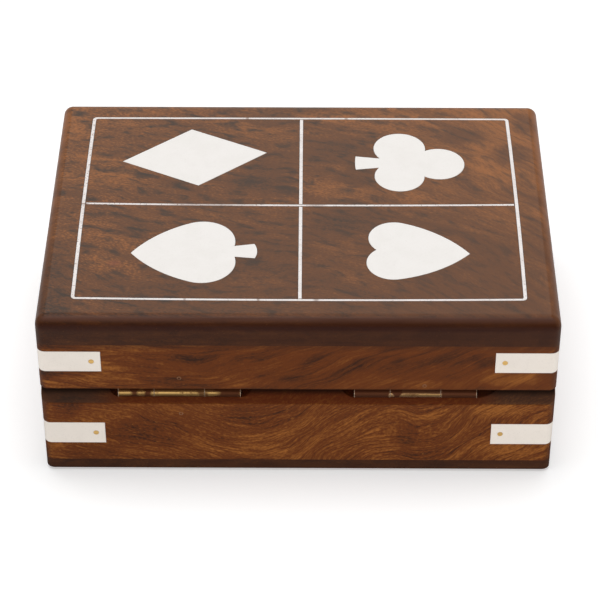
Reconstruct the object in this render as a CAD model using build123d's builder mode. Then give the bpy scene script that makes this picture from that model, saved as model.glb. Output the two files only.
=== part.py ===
"""A hinged rosewood box for two decks of playing cards.

The lid and the tray are mitred frames of wood with a panel glued over each. White straps are let
into every corner and pinned with brass, and the lid's panel is inlaid with a ruled border and the
four card suits. Two brass butt hinges lie in notches in the tray's rear wall, whose rim is
bevelled so that the open lid comes to rest on it.

Millimetres, +Z up. The origin is the centre of the underside, +X is right and -Y is the front,
where the lid opens. The hinges are on the +Y side.
"""

import os
from math import asin, cos, degrees, pi

from build123d import *

# ------------------------------------------------------------------ carcase
WIDTH = 160.0  # left to right
DEPTH = 115.0  # front to hinge side
WALL = 10.0  # stock of the mitred frames
CORNER_ROUND = 2.5  # upright outer corners
BASE_HEIGHT = 34.2  # tray, underside to rim
BOTTOM_THICK = 4.7  # panel under the tray's frame
FOOT_EASE = 1.0  # lower edge of that panel
SEAM = 0.25  # air between the tray's rim and the closed lid
LID_WALL_HEIGHT = 17.6  # lid's frame
TOP_THICK = 10.05  # lid's panel
TOP_ROUND = 3.7  # roundover of that panel
RIM_EASE = 0.5  # softened inner edge of both frames
BEVEL_DROP = 6.3  # rear bevel's lower edge, under the lid's lower edge

# ------------------------------------------------------------------ divider
DIVIDER_THICK = 6.0
DIVIDER_HEIGHT = 22.0  # above the tray's floor
DIVIDER_HOUSING = 2.0  # how far its ends are let into the walls
DIVIDER_EASE = 1.0  # its softened upper edges

# ------------------------------------------------------------- corner straps
STRAP_LEG = 19.45  # along each face, from the corner
STRAP_THICK = 1.4
LID_STRAP_HEIGHT = 7.9
LID_STRAP_RISE = 11.0  # strap's middle, above the lid's lower edge
BASE_STRAP_HEIGHT = 8.4
BASE_STRAP_DROP = 18.5  # strap's middle, under the lid's lower edge
STRAP_PIN_RADIUS = 0.85
STRAP_PIN_LENGTH = 7.0
STRAP_PIN_INSET = 2.9  # from the leg's end
GLUE_GAP = 0.05  # round every strap, screw and pin
SMALL_SIDES = 12  # of the pins, the screws and their holes, which repeat too often to be true rounds

# ------------------------------------------------------------------- hinges
HINGE_INSETS = {"left": 43.6, "right": 43.2}  # from the box's end to the hinge's middle
LEAF_LENGTH = 38.0
LEAF_REVEAL = 0.15  # wood left between the leaf and the wall's inner face
LEAF_THICK = 1.0
LEAF_CORNER = 0.6
LEAF_RELIEF = 0.3  # leaf's straight edge to the barrel
KNUCKLE_RADIUS = 2.25
CENTRE_KNUCKLE = 15.5  # length of the lid leaf's knuckle
KNUCKLE_GAP = 0.15  # between one knuckle and the next
KNUCKLE_CLEARANCE = 0.1  # barrel to the wood above and below it
HINGE_PIN_RADIUS = 1.0
RUNNING_FIT = 0.05  # pin in knuckle, on the radius
SCREW_SPACING = 24.0
SCREW_HEAD_RADIUS = 1.8
SCREW_HEAD_LAND = 0.1  # upright edge of the head, above its 45 degree countersink
SCREW_SHANK_RADIUS = 0.9
SCREW_LENGTH = 10.0
SCREW_SLOT_WIDTH = 0.5
SCREW_SLOT_DEPTH = 0.35
NOTCH_END_GAP = 0.2  # leaf's end to the end of the notch's flat floor
NOTCH_CUTTERS = {"left": (11.7, 4.5), "right": (3.7, 3.0)}  # radii at the -X end, +X end

# -------------------------------------------------- inlays in the lid's panel
INLAY_DEPTH = 1.5
INLAY_GAP = 0.1  # round every inlay
LONG_LINE_WIDTH = 0.8  # lines along X
SHORT_LINE_WIDTH = 1.05  # lines along Y
BORDER_END_MARGIN = 10.8  # from the box's ends to the middle of the line
BORDER_SIDE_MARGIN = 9.85  # from its front and rear
BORDER_CENTRE = (-0.2, -0.6)  # laid by eye, a little off the panel's centre
BORDER_BOW = {"front": 0.1, "rear": 0.6, "left": 0.35, "right": 0.25}  # bulge of each side
BORDER_ROUND = 1.0  # corner of the line's middle
CROSS_X = -0.3  # the short line, from the border's centre
CROSS_Y = -0.2  # the long line's ends, from the border's centre
CROSS_BOW = 0.7  # the long line's middle, towards the hinges
LINE_JOINT = 0.3  # where a cross line stops short of another

# a suit's place is x and y from the middle of its quarter of the border, and its turn in degrees
DIAMOND_PLACE = (0.0, -1.775, 6.2)
DIAMOND_LENGTH = 47.4
DIAMOND_WIDTH = 31.4

CLUB_PLACE = (-2.2, 1.225, 180.0)
CLUB_LOBES = ((8.6, -0.4, 8.4), (-4.1, 8.0, 8.5), (-4.4, -7.3, 8.1))  # x, y, radius
CLUB_STEM_LENGTH = 18.6  # from the club's centre to the foot
CLUB_STEM_NECK = 5.1
CLUB_STEM_FOOT = 7.3
CLUB_STEM_BULGE = 0.2  # rounding of the foot's end
CLUB_STEM_FLARE = 7.6  # length over which the stem widens

SPADE_PLACE = (18.1, 1.525, 1.7)  # its tip
SPADE_LENGTH = 32.7  # tip to the lobes' far side
SPADE_LOBE_RADIUS = 10.35
SPADE_LOBE_SPACING = 10.2
SPADE_SHOULDER = 68.5  # where a lobe runs into the straight side, degrees from the axis
SPADE_STEM_LENGTH = 38.7  # from the tip to the foot
SPADE_STEM_NECK = 5.1
SPADE_STEM_FOOT = 7.2
SPADE_STEM_BULGE = 0.8
SPADE_STEM_FLARE = 7.3

HEART_PLACE = (-18.7, 1.375, 176.4)  # its tip
HEART_LENGTH = 32.0
HEART_LOBE_RADIUS = 8.25
HEART_LOBE_SPACING = 12.4
HEART_SHOULDER = 75.0

# --------------------------------------------------------- levels and places
LID_FLOOR = BASE_HEIGHT + SEAM  # the lid's lower edge
PANEL_FLOOR = LID_FLOOR + LID_WALL_HEIGHT
LID_TOP = PANEL_FLOOR + TOP_THICK
LID_STRAP_Z = LID_FLOOR + LID_STRAP_RISE
BASE_STRAP_Z = LID_FLOOR - BASE_STRAP_DROP
HINGE_REACH = KNUCKLE_RADIUS + KNUCKLE_CLEARANCE  # pin to the wood on either side
PIN_Y = DEPTH / 2 - HINGE_REACH
PIN_Z = LID_FLOOR - HINGE_REACH
NOTCH_FLOOR = PIN_Z - HINGE_REACH
LEAF_EDGE_Y = PIN_Y - KNUCKLE_RADIUS - LEAF_RELIEF  # leaf's edge beside the barrel
LEAF_BACK_Y = DEPTH / 2 - WALL + LEAF_REVEAL
SCREW_Y = (LEAF_EDGE_Y + LEAF_BACK_Y) / 2
HINGE_CENTRES = {
    "left": HINGE_INSETS["left"] - WIDTH / 2,
    "right": WIDTH / 2 - HINGE_INSETS["right"],
}

BORDER_LENGTH = WIDTH - 2 * BORDER_END_MARGIN
BORDER_DEPTH = DEPTH - 2 * BORDER_SIDE_MARGIN
BORDER_PLANE = Plane((*BORDER_CENTRE, LID_TOP))
SIDES = {"front": (0, -1), "rear": (0, 1), "left": (-1, 0), "right": (1, 0)}


def save(piece, name):
    """Labels a finished piece and writes it under its node's name."""
    piece.label = name
    export_step(piece, f"parts/{name}.step")


def mitred_strip(side, length, depth, outset, inset):
    """One side of a rectangle seen from above, from outset outside its edge to inset inside it."""
    x, y = side
    ends = ((x or -1, y or -1), (x or 1, y or 1))
    outer = [(i * (length / 2 + outset), j * (depth / 2 + outset)) for i, j in ends]
    inner = [(i * (length / 2 - inset), j * (depth / 2 - inset)) for i, j in ends]
    return [outer[0], outer[1], inner[1], inner[0]]


def face_plane(side):
    """The plane of an outer face, pointing into the wood, with its own Y upwards."""
    inward = Vector(-side[0], -side[1], 0)
    origin = (side[0] * WIDTH / 2, side[1] * DEPTH / 2, 0)
    return Plane(origin=origin, x_dir=Vector(0, 0, 1).cross(inward), z_dir=inward)


# ------------------------------------------------------------------ outlines
def frame_outline():
    """The mitred frame, seen from above."""
    with BuildSketch() as outline:
        RectangleRounded(WIDTH, DEPTH, CORNER_ROUND)
        Rectangle(WIDTH - 2 * WALL, DEPTH - 2 * WALL, mode=Mode.SUBTRACT)
    return outline.sketch


def strap_outline(gap):
    """The four corner straps seen from above, grown by gap on their backs and ends."""
    depth = STRAP_THICK + gap
    reach = STRAP_LEG + gap
    with BuildSketch() as outline:
        RectangleRounded(WIDTH, DEPTH, CORNER_ROUND)
        Rectangle(WIDTH - 2 * depth, DEPTH - 2 * depth, mode=Mode.SUBTRACT)
        Rectangle(WIDTH - 2 * reach, DEPTH, mode=Mode.SUBTRACT)
        Rectangle(WIDTH, DEPTH - 2 * reach, mode=Mode.SUBTRACT)
    return outline.sketch


def diamond_outline():
    """A lozenge on its own centre."""
    across = DIAMOND_LENGTH / 2
    up = DIAMOND_WIDTH / 2
    with BuildSketch() as outline:
        Polygon((across, 0), (0, up), (-across, 0), (0, -up), align=None)
    return outline.sketch


def stem_outline(length, flare, neck, foot, bulge):
    """A stem along -X from the origin, widening over flare to a slightly rounded foot."""
    half = foot / 2
    with BuildSketch() as outline:
        with BuildLine():
            Polyline((-length, half), (flare - length, neck / 2), (0, neck / 2))
            Line((0, neck / 2), (0, -neck / 2))
            Polyline((0, -neck / 2), (flare - length, -neck / 2), (-length, -half))
            ThreePointArc((-length, -half), (-length - bulge, 0), (-length, half))
        make_face()
    return outline.sketch


def club_outline():
    """Three round lobes about a small core, and a stem along -X."""
    stem = stem_outline(
        CLUB_STEM_LENGTH, CLUB_STEM_FLARE, CLUB_STEM_NECK, CLUB_STEM_FOOT, CLUB_STEM_BULGE
    )
    with BuildSketch() as outline:
        for x, y, radius in CLUB_LOBES:
            with Locations((x, y)):
                Circle(radius)
        Circle(CLUB_STEM_NECK / 2)
        add(stem)
    return outline.sketch


def leaf_outline(length, radius, spacing, shoulder):
    """Two round lobes whose sides run together at a tip on the origin, lobes along -X."""
    centre = Vector(radius - length, spacing / 2)
    notch_angle = 180 + degrees(asin(spacing / 2 / radius))
    with BuildSketch() as outline:
        with BuildLine():
            lobe = CenterArc(centre, radius, notch_angle, shoulder - notch_angle)
            TangentArc(lobe @ 1, (0, 0), tangent=lobe % 1)
            Line((0, 0), lobe @ 0)
        make_face()
        mirror(about=Plane.XZ)
    return outline.sketch


def spade_outline():
    """The pointed leaf with a stem that starts inside it."""
    stem = stem_outline(
        SPADE_STEM_LENGTH - SPADE_LENGTH / 2,
        SPADE_STEM_FLARE,
        SPADE_STEM_NECK,
        SPADE_STEM_FOOT,
        SPADE_STEM_BULGE,
    )
    leaf = leaf_outline(SPADE_LENGTH, SPADE_LOBE_RADIUS, SPADE_LOBE_SPACING, SPADE_SHOULDER)
    with BuildSketch() as outline:
        add(leaf)
        with Locations((-SPADE_LENGTH / 2, 0)):
            add(stem)
    return outline.sketch


def heart_outline():
    """The pointed leaf without a stem."""
    return leaf_outline(HEART_LENGTH, HEART_LOBE_RADIUS, HEART_LOBE_SPACING, HEART_SHOULDER)


def bowed_rectangle(end_grow, side_grow):
    """The border's middle line, moved out along X by end_grow and along Y by side_grow."""
    x = BORDER_LENGTH / 2 + end_grow
    y = BORDER_DEPTH / 2 + side_grow
    with BuildSketch() as outline:
        with BuildLine():
            ThreePointArc((-x, -y), (0, -y - BORDER_BOW["front"]), (x, -y))
            ThreePointArc((x, -y), (x + BORDER_BOW["right"], 0), (x, y))
            ThreePointArc((x, y), (0, y + BORDER_BOW["rear"]), (-x, y))
            ThreePointArc((-x, y), (-x - BORDER_BOW["left"], 0), (-x, -y))
        make_face()
        fillet(outline.vertices(), BORDER_ROUND + side_grow)
    return outline.sketch


def border_ring(gap):
    """The border as one closed line, grown by gap on both its edges."""
    end_grow = SHORT_LINE_WIDTH / 2 + gap
    side_grow = LONG_LINE_WIDTH / 2 + gap
    outer = bowed_rectangle(end_grow, side_grow)
    inner = bowed_rectangle(-end_grow, -side_grow)
    with BuildSketch() as ring:
        add(outer)
        add(inner, mode=Mode.SUBTRACT)
    return ring.sketch


def border_outlines():
    """The border's four strips, mitred where they meet."""
    ring = border_ring(0)
    reach = SHORT_LINE_WIDTH + max(BORDER_BOW.values())
    strips = {}
    for name, side in SIDES.items():
        with BuildSketch() as strip:
            add(ring)
            outline = mitred_strip(side, BORDER_LENGTH, BORDER_DEPTH, reach, reach)
            Polygon(*outline, align=None, mode=Mode.INTERSECT)
        strips[name] = strip.sketch
    return strips


def cross_outlines():
    """The cross inside the border: one long bowed line and two short ones that meet it."""
    end_stop = SHORT_LINE_WIDTH / 2 + LINE_JOINT  # from a line's middle to the end that meets it
    left = -BORDER_LENGTH / 2 - BORDER_BOW["left"] + end_stop
    right = BORDER_LENGTH / 2 + BORDER_BOW["right"] - end_stop
    stop = LONG_LINE_WIDTH / 2 + LINE_JOINT
    front = -BORDER_DEPTH / 2 - BORDER_BOW["front"] + stop
    rear = BORDER_DEPTH / 2 + BORDER_BOW["rear"] - stop
    crossing = CROSS_Y + CROSS_BOW
    with BuildSketch() as long_line:
        with BuildLine():
            ThreePointArc((left, CROSS_Y), (CROSS_X, crossing), (right, CROSS_Y))
        trace(line_width=LONG_LINE_WIDTH)
    lines = {"long": long_line.sketch}
    for name, low, high in (("front", front, crossing - stop), ("rear", crossing + stop, rear)):
        with BuildSketch() as short_line:
            with Locations((CROSS_X, (low + high) / 2)):
                Rectangle(SHORT_LINE_WIDTH, high - low)
        lines[f"short_{name}"] = short_line.sketch
    return lines


def inlays():
    """Every inlay's name, with the plane it lies on and its outline there."""
    pieces = {}
    for name, outline in border_outlines().items():
        pieces[f"border_{name}"] = (BORDER_PLANE, outline)
    for name, outline in cross_outlines().items():
        pieces[f"cross_{name}"] = (BORDER_PLANE, outline)
    suits = {
        "diamond": (1, -1, DIAMOND_PLACE, diamond_outline()),
        "club": (-1, -1, CLUB_PLACE, club_outline()),
        "spade": (1, 1, SPADE_PLACE, spade_outline()),
        "heart": (-1, 1, HEART_PLACE, heart_outline()),
    }
    for name, (x_half, y_half, (x, y, turn), outline) in suits.items():
        middle = (x_half * BORDER_LENGTH / 4 + x, y_half * BORDER_DEPTH / 4 + y, 0)
        plane = Plane(origin=BORDER_PLANE.from_local_coords(middle)).rotated((0, 0, turn))
        pieces[f"{name}_inlay"] = (plane, outline)
    return pieces


def pockets(pieces):
    """What is sunk in the panel for them: each outline a little wider, and the border in one."""
    sunk = [(BORDER_PLANE, border_ring(INLAY_GAP))]
    for name, (plane, outline) in pieces.items():
        if not name.startswith("border"):
            sunk.append((plane, offset(outline, amount=INLAY_GAP, kind=Kind.INTERSECTION)))
    return sunk


def small_round(radius):
    """Draws a pin's or a screw's section in the sketch in hand."""
    RegularPolygon(radius, SMALL_SIDES)


def pin_sections(side, height, radius):
    """Draws both strap pins of one face in the sketch in hand."""
    run = DEPTH if side[0] else WIDTH
    reach = run / 2 - STRAP_LEG + STRAP_PIN_INSET
    with Locations((-reach, height), (reach, height)):
        small_round(radius)


def notch_profile(centre, cutters):
    """Draws a hinge notch in the sketch in hand: a flat floor that ends in two cutter's arcs."""
    half = LEAF_LENGTH / 2 + NOTCH_END_GAP
    with Locations((centre, NOTCH_FLOOR)):
        Rectangle(2 * half, LID_FLOOR - NOTCH_FLOOR, align=(Align.CENTER, Align.MIN))
    for end, radius in zip((-half, half), cutters):
        with Locations((centre + end, NOTCH_FLOOR + radius)):
            Circle(radius)
            Rectangle(2 * radius, HINGE_REACH, align=(Align.CENTER, Align.MIN))


def screw_planes(centres, seat, out):
    """Planes at the hinge screws on a level, pointing the way that the heads look."""
    places = [centre + end * SCREW_SPACING / 2 for centre in centres for end in (-1, 1)]
    return [Plane(origin=(x, SCREW_Y, seat), z_dir=(0, 0, out)) for x in places]


# -------------------------------------------------------------------- frames
def split_frame(frame, body):
    """Cuts a frame through its mitres and saves the four walls."""
    for name, side in SIDES.items():
        with BuildPart() as wall:
            add(frame)
            with BuildSketch():
                Polygon(*mitred_strip(side, WIDTH, DEPTH, 0, WALL), align=None)
            extrude(amount=LID_TOP, mode=Mode.INTERSECT)
        save(wall.part, f"{body}_{name}_wall")


def tray_walls():
    """The tray's frame: strap housings, divider housings, rear bevel and hinge notches."""
    bevel_foot = LID_FLOOR - BEVEL_DROP
    bevel = BASE_HEIGHT - bevel_foot
    rear = DEPTH / 2
    with BuildPart() as frame:
        with BuildSketch(Plane.XY.offset(BOTTOM_THICK)):
            add(FRAME)
        extrude(amount=BASE_HEIGHT - BOTTOM_THICK)
        chamfer(frame.faces().sort_by(Axis.Z)[-1].inner_wires().edges(), RIM_EASE)
        with BuildSketch(Plane.XY.offset(BASE_STRAP_Z - BASE_STRAP_HEIGHT / 2 - GLUE_GAP)):
            add(STRAP_HOUSINGS)
        extrude(amount=BASE_STRAP_HEIGHT + 2 * GLUE_GAP, mode=Mode.SUBTRACT)
        for side in SIDES.values():
            with BuildSketch(face_plane(side)):
                pin_sections(side, BASE_STRAP_Z, STRAP_PIN_RADIUS + GLUE_GAP)
            extrude(amount=STRAP_PIN_LENGTH + GLUE_GAP, mode=Mode.SUBTRACT)
        with BuildSketch(Plane.XY.offset(BOTTOM_THICK)):
            housing = DIVIDER_HOUSING + GLUE_GAP
            Rectangle(DIVIDER_THICK + 2 * GLUE_GAP, DEPTH - 2 * WALL + 2 * housing)
        extrude(amount=DIVIDER_HEIGHT + GLUE_GAP, mode=Mode.SUBTRACT)
        with BuildSketch(Plane.YZ):
            Polygon((rear, bevel_foot), (rear, BASE_HEIGHT), (rear - bevel, BASE_HEIGHT), align=None)
        extrude(amount=WIDTH / 2, both=True, mode=Mode.SUBTRACT)
        for name, centre in HINGE_CENTRES.items():
            with BuildSketch(Plane.XZ.offset(-rear)):
                notch_profile(centre, NOTCH_CUTTERS[name])
            extrude(amount=WALL, mode=Mode.SUBTRACT)
        with Locations(*screw_planes(HINGE_CENTRES.values(), NOTCH_FLOOR + LEAF_THICK, 1)):
            add(SCREW_HOLE, mode=Mode.SUBTRACT)
    split_frame(frame.part, "base")


def lid_walls():
    """The lid's frame: strap housings and screw holes in its lower edge."""
    with BuildPart() as frame:
        with BuildSketch(Plane.XY.offset(LID_FLOOR)):
            add(FRAME)
        extrude(amount=LID_WALL_HEIGHT)
        chamfer(frame.faces().sort_by(Axis.Z)[0].inner_wires().edges(), RIM_EASE)
        with BuildSketch(Plane.XY.offset(LID_STRAP_Z - LID_STRAP_HEIGHT / 2 - GLUE_GAP)):
            add(STRAP_HOUSINGS)
        extrude(amount=LID_STRAP_HEIGHT + 2 * GLUE_GAP, mode=Mode.SUBTRACT)
        for side in SIDES.values():
            with BuildSketch(face_plane(side)):
                pin_sections(side, LID_STRAP_Z, STRAP_PIN_RADIUS + GLUE_GAP)
            extrude(amount=STRAP_PIN_LENGTH + GLUE_GAP, mode=Mode.SUBTRACT)
        with Locations(*screw_planes(HINGE_CENTRES.values(), LID_FLOOR - LEAF_THICK, -1)):
            add(SCREW_HOLE, mode=Mode.SUBTRACT)
    split_frame(frame.part, "lid")


# -------------------------------------------------------------------- panels
def bottom_panel():
    """The tray's bottom, flush with the frame and softened where it meets the table."""
    with BuildPart() as panel:
        with BuildSketch():
            RectangleRounded(WIDTH, DEPTH, CORNER_ROUND)
        extrude(amount=BOTTOM_THICK)
        chamfer(panel.faces().sort_by(Axis.Z)[0].edges(), FOOT_EASE)
    save(panel.part, "bottom_panel")


def top_panel(sunk):
    """The lid's thick panel, rounded over, with a pocket for each inlay."""
    with BuildPart() as panel:
        with BuildSketch(Plane.XY.offset(PANEL_FLOOR)):
            RectangleRounded(WIDTH, DEPTH, CORNER_ROUND)
        extrude(amount=TOP_THICK)
        fillet(panel.faces().sort_by(Axis.Z)[-1].edges(), TOP_ROUND)
        for plane, outline in sunk:
            with BuildSketch(plane):
                add(outline)
            extrude(amount=-INLAY_DEPTH, mode=Mode.SUBTRACT)
    save(panel.part, "lid_top_panel")


def divider():
    """The upright board between the two decks, its ends let into the walls."""
    with BuildPart() as board:
        with BuildSketch(Plane.XY.offset(BOTTOM_THICK)):
            Rectangle(DIVIDER_THICK, DEPTH - 2 * WALL + 2 * DIVIDER_HOUSING)
        extrude(amount=DIVIDER_HEIGHT)
        top_edges = board.faces().sort_by(Axis.Z)[-1].edges().filter_by(Axis.Y)
        chamfer(top_edges, DIVIDER_EASE)
    save(board.part, "card_divider")


# --------------------------------------------------------------------- trims
def straps(body, height, middle):
    """The four L-shaped straps of one tier, each bored for its two pins."""
    for y_name, y in (("front", -1), ("rear", 1)):
        for x_name, x in (("left", -1), ("right", 1)):
            with BuildPart() as strap:
                with BuildSketch(Plane.XY.offset(middle - height / 2)):
                    add(STRAPS)
                    with Locations((x * WIDTH / 4, y * DEPTH / 4)):
                        Rectangle(WIDTH / 2, DEPTH / 2, mode=Mode.INTERSECT)
                extrude(amount=height)
                for side in ((x, 0), (0, y)):
                    with BuildSketch(face_plane(side)):
                        pin_sections(side, middle, STRAP_PIN_RADIUS + GLUE_GAP)
                    extrude(amount=STRAP_THICK, mode=Mode.SUBTRACT)
            save(strap.part, f"{body}_strap_{y_name}_{x_name}")


def strap_pins(body, middle):
    """The eight brass pins of one tier, flush with its faces."""
    with BuildPart() as pins:
        for side in SIDES.values():
            with BuildSketch(face_plane(side)):
                pin_sections(side, middle, STRAP_PIN_RADIUS)
            extrude(amount=STRAP_PIN_LENGTH)
    save(pins.part, f"{body}_strap_pins")


def inlay(name, plane, outline):
    """One flush white inlay."""
    with BuildPart() as piece:
        with BuildSketch(plane):
            add(outline)
        extrude(amount=-INLAY_DEPTH)
    save(piece.part, name)


# -------------------------------------------------------------------- hinges
def hinge_leaf(centre, up, knuckles):
    """A leaf seated on the wood above the pin (up is 1) or below it (-1), with its knuckles."""
    seat = PIN_Z + up * HINGE_REACH
    face = seat - up * LEAF_THICK
    neck = [
        (LEAF_EDGE_Y, seat),
        (PIN_Y, PIN_Z + up * KNUCKLE_RADIUS),
        (PIN_Y, PIN_Z + up * (KNUCKLE_RADIUS - LEAF_THICK)),
        (LEAF_EDGE_Y, face),
    ]
    with BuildPart() as leaf:
        with BuildSketch(Plane.XY.offset(min(seat, face))):
            with Locations((centre, (LEAF_EDGE_Y + LEAF_BACK_Y) / 2)):
                plate = Rectangle(LEAF_LENGTH, LEAF_EDGE_Y - LEAF_BACK_Y)
            fillet(plate.vertices().group_by(Axis.Y)[0], LEAF_CORNER)
        extrude(amount=LEAF_THICK)
        for start, end in knuckles:
            with BuildSketch(Plane.YZ.offset(centre + start)):
                with Locations((PIN_Y, PIN_Z)):
                    Circle(KNUCKLE_RADIUS)
                Polygon(*neck, align=None)
            extrude(amount=end - start)
        with BuildSketch(Plane.YZ.offset(centre - LEAF_LENGTH / 2)):
            with Locations((PIN_Y, PIN_Z)):
                Circle(HINGE_PIN_RADIUS + RUNNING_FIT)
        extrude(amount=LEAF_LENGTH, mode=Mode.SUBTRACT)
        with Locations(*screw_planes([centre], face, -up)):
            add(SCREW_HOLE, mode=Mode.SUBTRACT)
    return leaf.part


def hinge(name, centre):
    """A butt hinge: the lid's leaf, the tray's leaf and the pin."""
    half = LEAF_LENGTH / 2
    inner = CENTRE_KNUCKLE / 2
    outer = inner + KNUCKLE_GAP
    save(hinge_leaf(centre, 1, [(-inner, inner)]), f"{name}_hinge_lid_leaf")
    save(hinge_leaf(centre, -1, [(-half, -outer), (outer, half)]), f"{name}_hinge_base_leaf")
    with BuildPart() as pin:
        with BuildSketch(Plane.YZ.offset(centre - half)):
            with Locations((PIN_Y, PIN_Z)):
                Circle(HINGE_PIN_RADIUS)
        extrude(amount=LEAF_LENGTH)
    save(pin.part, f"{name}_hinge_pin")


def screw_body(gap):
    """A countersunk screw grown by gap, its head's face on the origin and looking along +Z."""
    head = SCREW_HEAD_RADIUS + gap
    shank = SCREW_SHANK_RADIUS + gap
    sink = (head - shank) * cos(pi / SMALL_SIDES)  # between the flats, which are what slopes
    head_height = SCREW_HEAD_LAND + sink
    with BuildPart() as body:
        with BuildSketch():
            small_round(head)
        extrude(amount=-head_height)
        chamfer(body.faces().sort_by(Axis.Z)[0].edges(), sink)
        with BuildSketch(Plane.XY.offset(-head_height)):
            small_round(shank)
        extrude(amount=head_height - SCREW_LENGTH - gap)
    return body.part


def wood_screw():
    """One screw with the slot in its head."""
    body = screw_body(0)
    with BuildPart() as screw:
        add(body)
        with BuildSketch():
            Rectangle(2 * SCREW_HEAD_RADIUS, SCREW_SLOT_WIDTH)
        extrude(amount=-SCREW_SLOT_DEPTH, mode=Mode.SUBTRACT)
    return screw.part


def hinge_screws(body, seat, out):
    """The four screws of one tier's leaves."""
    screw = wood_screw()
    with BuildPart() as screws:
        with Locations(*screw_planes(HINGE_CENTRES.values(), seat, out)):
            add(screw)
    save(screws.part, f"{body}_hinge_screws")


# --------------------------------------------------------------------- build
os.makedirs("parts", exist_ok=True)

FRAME = frame_outline()
STRAPS = strap_outline(0)
STRAP_HOUSINGS = strap_outline(GLUE_GAP)
SCREW_HOLE = screw_body(GLUE_GAP)
INLAYS = inlays()

bottom_panel()
tray_walls()
divider()
straps("base", BASE_STRAP_HEIGHT, BASE_STRAP_Z)
strap_pins("base", BASE_STRAP_Z)
hinge_screws("base", NOTCH_FLOOR + LEAF_THICK, 1)

lid_walls()
top_panel(pockets(INLAYS))
straps("lid", LID_STRAP_HEIGHT, LID_STRAP_Z)
strap_pins("lid", LID_STRAP_Z)
hinge_screws("lid", LID_FLOOR - LEAF_THICK, -1)
for name, (plane, outline) in INLAYS.items():
    inlay(name, plane, outline)

for name, centre in HINGE_CENTRES.items():
    hinge(name, centre)
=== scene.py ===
"""Hinged card box: the finishes of its wood, white inlay and brass, with the table, lamps and camera.

Lengths are in metres. The box's left end is -X, its right end +X, and its rear, with the hinges, +Y.
"""

import math

import bpy
from mathutils import Matrix, Vector

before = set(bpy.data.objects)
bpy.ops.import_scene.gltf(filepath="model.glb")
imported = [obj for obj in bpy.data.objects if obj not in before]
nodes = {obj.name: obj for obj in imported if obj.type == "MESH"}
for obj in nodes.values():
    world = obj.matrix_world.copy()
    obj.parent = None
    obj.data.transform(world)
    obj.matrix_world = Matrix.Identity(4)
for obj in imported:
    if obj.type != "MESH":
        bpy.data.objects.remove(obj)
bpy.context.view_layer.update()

MM = 0.001

# camera, read from the perspective of the photograph
FOCAL_LENGTH_MM = 143.59
SENSOR_MM = 36.0
EYE = Vector((-3.93, 611.6, 526.2)) * MM
AHEAD = Vector((0.004623, -0.772146, -0.63543))
IMAGE_RIGHT = Vector((-0.99998, -0.005987, 0.0))

# the white table: what it gives to the camera, to matt surfaces and to polished ones
TABLE_SIZE = 6.0
TABLE_WHITE = 0.42
TABLE_BOUNCE = 1.10
TABLE_SHEEN = 0.80
TABLE_SHADE = (0.100, 0.150)  # distances from the box's middle between which the sheen comes up
PAPER_SEEN = (0.80, 0.80, 0.80, 1)
PAPER_UNSEEN = (0.30, 0.30, 0.30, 1)

# the room: its own light, and what polished surfaces mirror of it
ROOM = 0.35
ROOM_MIRRORED = 0.12
BACK_MIRRORED = 0.95
BACK_FROM = (-0.42, -0.70)  # directions along Y between which the room's bright back wall begins
WHITE = (1, 1, 1, 1)
ROOM_WARM = (1.0, 0.55, 0.36, 1)
BACK_WARM = (1.0, 0.95, 0.86, 1)

# the box's own lines
HALF_LENGTH = 0.080
HALF_DEPTH = 0.0575
BOTTOM_SEAM = 0.0047
BEVEL_FOOT = 0.0279
RIM_LEVEL = 0.0341  # just under the tray's upper rim
SEAM_LEVEL = 0.0343  # between the tray and the lid
PANEL_SEAM = 0.05205
TOP_LEVEL = 0.0621
REAR_STRIP = 0.0485  # the bevel and the hinge notches lie behind this
PIN_Y = 0.05515
PIN_Z = 0.0321
BARREL_RADIUS = 0.0024
HINGE_MIDDLES = {"left": -0.0364, "right": 0.0368}
LEAF_HALF = 0.0190
KNUCKLE_HALF = 0.00782
BRAD_RADIUS = 0.00052

# how the wood lies and wears, and where shade and glints are painted, with the distances between which
# each comes up
TOP_GRAIN_TURN = math.radians(14.0)
TOP_GRAIN_BOW = -4.0  # how fast the top's grain turns away towards -X
GRAIN_SWAY = 0.014
EDGE_RAGGED = 0.0016  # how far the worn edges wander
CORNER_WEAR = (0.0034, 0.0016)
LID_SEAM_SHADE = (0.0012, 0.0005)
PANEL_SEAM_WEAR = (0.0034, 0.0010)
SIDE_STRIP = (0.0085, 0.0065)
BELOW_SURFACE = (0.00004, 0.0003)
BEVEL_TURNS_SLATE = (0.052, 0.066)  # counted from the box's middle
BRAD_RIM_WIDTH = (0.00024, 0.00008)
KNUCKLE_END_WEAR_AND_GLINT = (0.00022, 0.00005)
THROUGH = 0.1  # a patch's reach where it goes right through a board
ALL_ROUND = 0.02  # a stain's reach where it goes all round a hinge's barrel


# ---------------------------------------------------------------- patches, stains and marks
def on_rear(x, z, reach_x, reach_z, lift):
    """A patch on the rear: its centre, its reach and how much warmer (or darker) the wood is there."""
    return (x, HALF_DEPTH, z), (reach_x, THROUGH, reach_z), lift


def on_top(x, y, reach_x, reach_y, lift):
    """The same on the top. For a stain, lift is how strong it is."""
    return (x, y, TOP_LEVEL), (reach_x, reach_y, THROUGH), lift


def on_barrel(x, reach, lift):
    """A ring of tarnish round a hinge's barrel."""
    return (x, PIN_Y, PIN_Z), (reach, ALL_ROUND, ALL_ROUND), lift


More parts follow.
